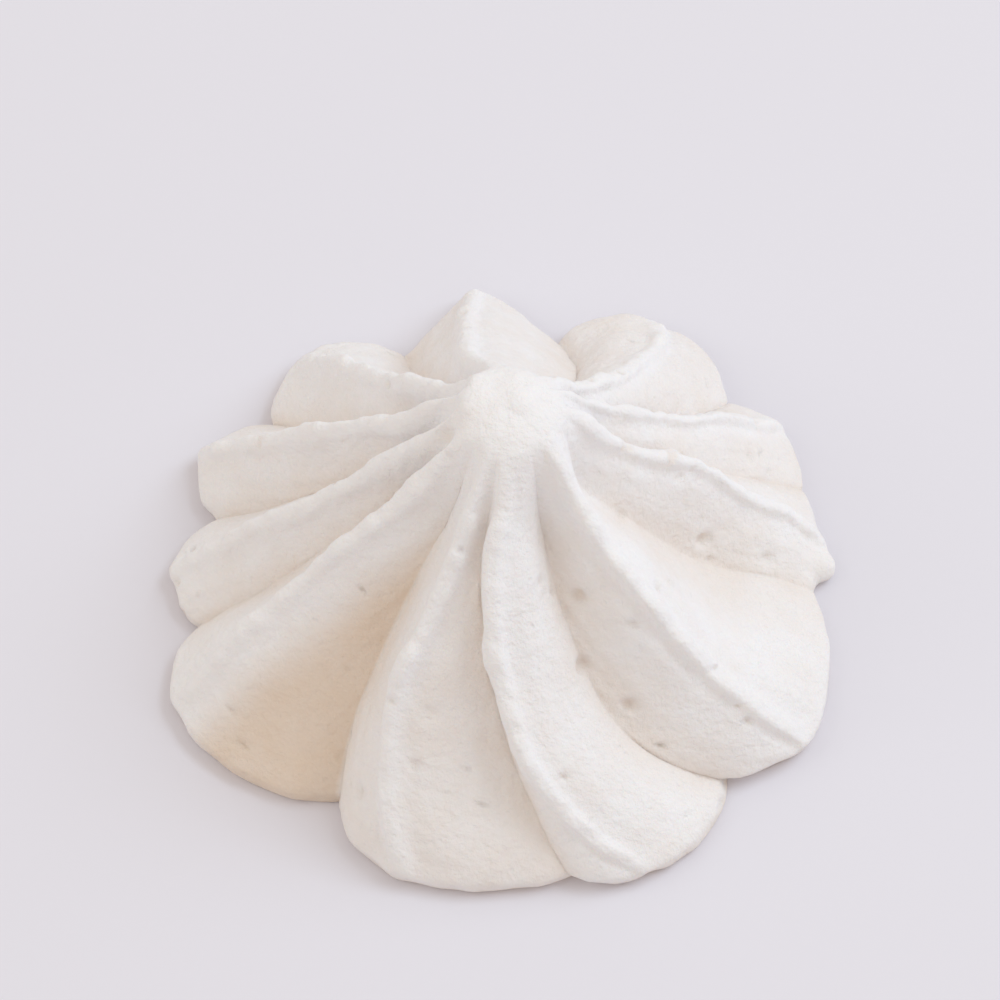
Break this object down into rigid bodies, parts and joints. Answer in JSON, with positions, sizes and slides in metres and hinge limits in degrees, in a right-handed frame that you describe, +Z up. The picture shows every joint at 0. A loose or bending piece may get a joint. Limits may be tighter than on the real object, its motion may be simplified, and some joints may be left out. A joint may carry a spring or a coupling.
{
  "type": "meringue cookie",
  "caption": "Piped meringue kiss: a low tent of eleven narrow-crested ridges with sharp grooves, under a small rounded cap, with a lobed foot and a flat baked base.",
  "frame": {"origin": "middle of the flat base, on the plane that the cookie stands on", "axes": "+Z up through the cap, +Y towards the back, where the end of one ridge is pointed, +X to the right when seen from the front"},
  "size_m": [0.0411, 0.0429, 0.0237],
  "materials": {
    "meringue": "matte"
  },
  "bodies": {
    "root": {"meringue": "meringue"}
  },
  "joints": []
}
